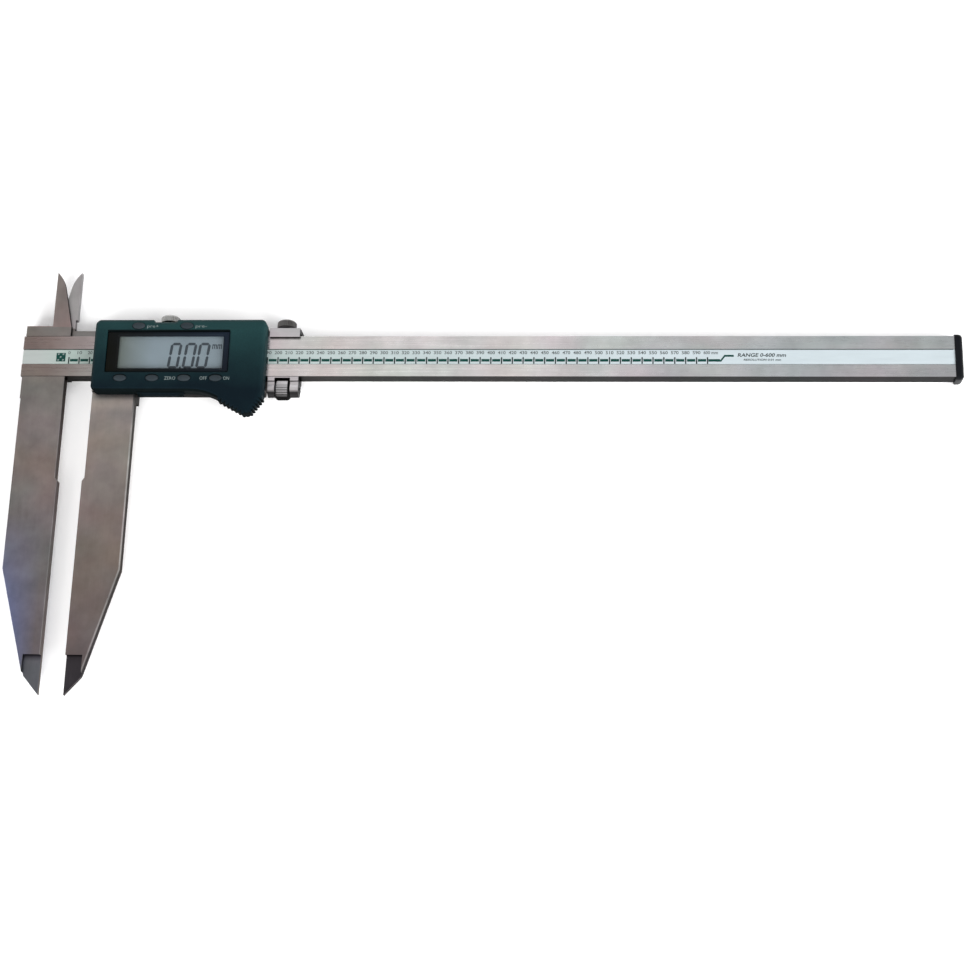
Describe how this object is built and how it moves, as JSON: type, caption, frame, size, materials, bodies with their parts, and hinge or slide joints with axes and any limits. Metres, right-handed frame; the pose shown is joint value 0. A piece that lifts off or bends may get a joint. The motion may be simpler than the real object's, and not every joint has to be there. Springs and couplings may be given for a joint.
{
  "type": "digital caliper",
  "caption": "Long-jaw digital caliper: sliding jaw with a display unit and fine-adjustment carriage on a rectangular steel beam, with outside jaws and inside blades.",
  "frame": {"origin": "centre of the underside of the caliper lying on its back", "axes": "+X along the beam from the fixed jaw to the end cap, +Y from the long jaws towards the inside blades, +Z out of the scale face"},
  "size_m": [0.877, 0.4096, 0.0325],
  "materials": {
    "beam_steel": "fine satin, brushed along the beam",
    "jaw_steel": "ground satin with faint warm tints",
    "screw_steel": "turned and knurled",
    "dark_steel": "darkened, knurled",
    "brass": "plain rolled strip",
    "housing_plastic": "dark blue-green, lightly textured",
    "black_plastic": "moulded satin black",
    "button_rubber": "matt grey",
    "membrane_rubber": "matt",
    "label_film": "printed pale film with a dark green scale",
    "board_laminate": "solder-masked laminate",
    "display_panel": "grey reflective liquid-crystal panel",
    "clear_window": "clear sheet"
  },
  "bodies": {
    "beam": {"main_beam": "beam_steel", "fixed_jaw": "jaw_steel", "jaw_rivet_1": "screw_steel", "jaw_rivet_2": "screw_steel", "jaw_rivet_3": "screw_steel", "stator_strip": "board_laminate", "scale_label": "label_film", "end_cap": "black_plastic", "end_cap_screw_1": "screw_steel", "end_cap_screw_2": "screw_steel"},
    "slider": {"slider_frame": "jaw_steel", "back_plate": "jaw_steel", "back_plate_screw_1": "screw_steel", "back_plate_screw_2": "screw_steel", "back_plate_screw_3": "screw_steel", "back_plate_screw_4": "screw_steel", "gib_strip": "brass", "gib_screw_1": "dark_steel", "gib_screw_2": "dark_steel", "adjust_screw": "screw_steel", "sensor_board": "board_laminate", "controller_chip": "black_plastic", "contact_strip_1": "membrane_rubber", "contact_strip_2": "membrane_rubber", "display_panel": "display_panel", "display_window": "clear_window", "display_bezel": "black_plastic", "front_housing": "housing_plastic", "housing_screw_1": "screw_steel", "housing_screw_2": "screw_steel", "housing_screw_3": "screw_steel", "housing_screw_4": "screw_steel", "upper_membrane": "membrane_rubber", "lower_membrane": "membrane_rubber"},
    "battery_tray": {"battery_drawer": "housing_plastic", "battery": "screw_steel"},
    "slider_lock": {"slider_lock_screw": "screw_steel"},
    "carriage": {"carriage_block": "screw_steel", "carriage_gib": "brass"},
    "carriage_lock": {"carriage_lock_screw": "dark_steel"},
    "adjust_wheel": {"adjust_nut": "screw_steel"},
    "key_preset_up": {"button_preset_up": "button_rubber"},
    "key_preset_down": {"button_preset_down": "button_rubber"},
    "key_unit": {"button_unit": "button_rubber"},
    "key_hold": {"button_hold": "button_rubber"},
    "key_zero": {"button_zero": "button_rubber"},
    "key_power": {"button_power": "button_rubber"}
  },
  "joints": [
    {"name": "slider_slide", "type": "slide", "parent": "beam", "child": "slider", "axis": [1, 0, 0], "range_m": [-0.0234, 0.575]},
    {"name": "battery_drawer_pull", "type": "slide", "parent": "slider", "child": "battery_tray", "axis": [0, -1, 0], "range_m": [0, 0.022]},
    {"name": "slider_lock_turn", "type": "hinge", "parent": "slider", "child": "slider_lock", "pos_m": [-0.3001, 0.1547, 0.0113], "axis": [0, 1, 0], "range_deg": [-360, 0]},
    {"name": "adjust_wheel_turn", "type": "hinge", "parent": "carriage", "child": "adjust_wheel", "pos_m": [-0.18835, 0.08625, 0.0103], "axis": [1, 0, 0], "range_deg": [0, 2881]},
    {"name": "carriage_slide", "type": "slide", "parent": "slider", "child": "carriage", "axis": [1, 0, 0], "range_m": [0, 0.008]},
    {"name": "carriage_lock_turn", "type": "hinge", "parent": "carriage", "child": "carriage_lock", "pos_m": [-0.1882, 0.1503, 0.0103], "axis": [0, 1, 0], "range_deg": [-360, 0]},
    {"name": "key_preset_up_press", "type": "slide", "parent": "slider", "child": "key_preset_up", "axis": [0, 0, -1], "range_m": [0, 0.0006], "stiffness_N_per_m": 1500, "springref_m": -0.0004},
    {"name": "key_preset_down_press", "type": "slide", "parent": "slider", "child": "key_preset_down", "axis": [0, 0, -1], "range_m": [0, 0.0006], "stiffness_N_per_m": 1500, "springref_m": -0.0004},
    {"name": "key_unit_press", "type": "slide", "parent": "slider", "child": "key_unit", "axis": [0, 0, -1], "range_m": [0, 0.0006], "stiffness_N_per_m": 1500, "springref_m": -0.0004},
    {"name": "key_hold_press", "type": "slide", "parent": "slider", "child": "key_hold", "axis": [0, 0, -1], "range_m": [0, 0.0006], "stiffness_N_per_m": 1500, "springref_m": -0.0004},
    {"name": "key_zero_press", "type": "slide", "parent": "slider", "child": "key_zero", "axis": [0, 0, -1], "range_m": [0, 0.0006], "stiffness_N_per_m": 1500, "springref_m": -0.0004},
    {"name": "key_power_press", "type": "slide", "parent": "slider", "child": "key_power", "axis": [0, 0, -1], "range_m": [0, 0.0006], "stiffness_N_per_m": 1500, "springref_m": -0.0004}
  ],
  "couplings": [
    {"joint": "adjust_wheel_turn", "follows": "carriage_slide", "rad_per_m": 6283.2}
  ]
}
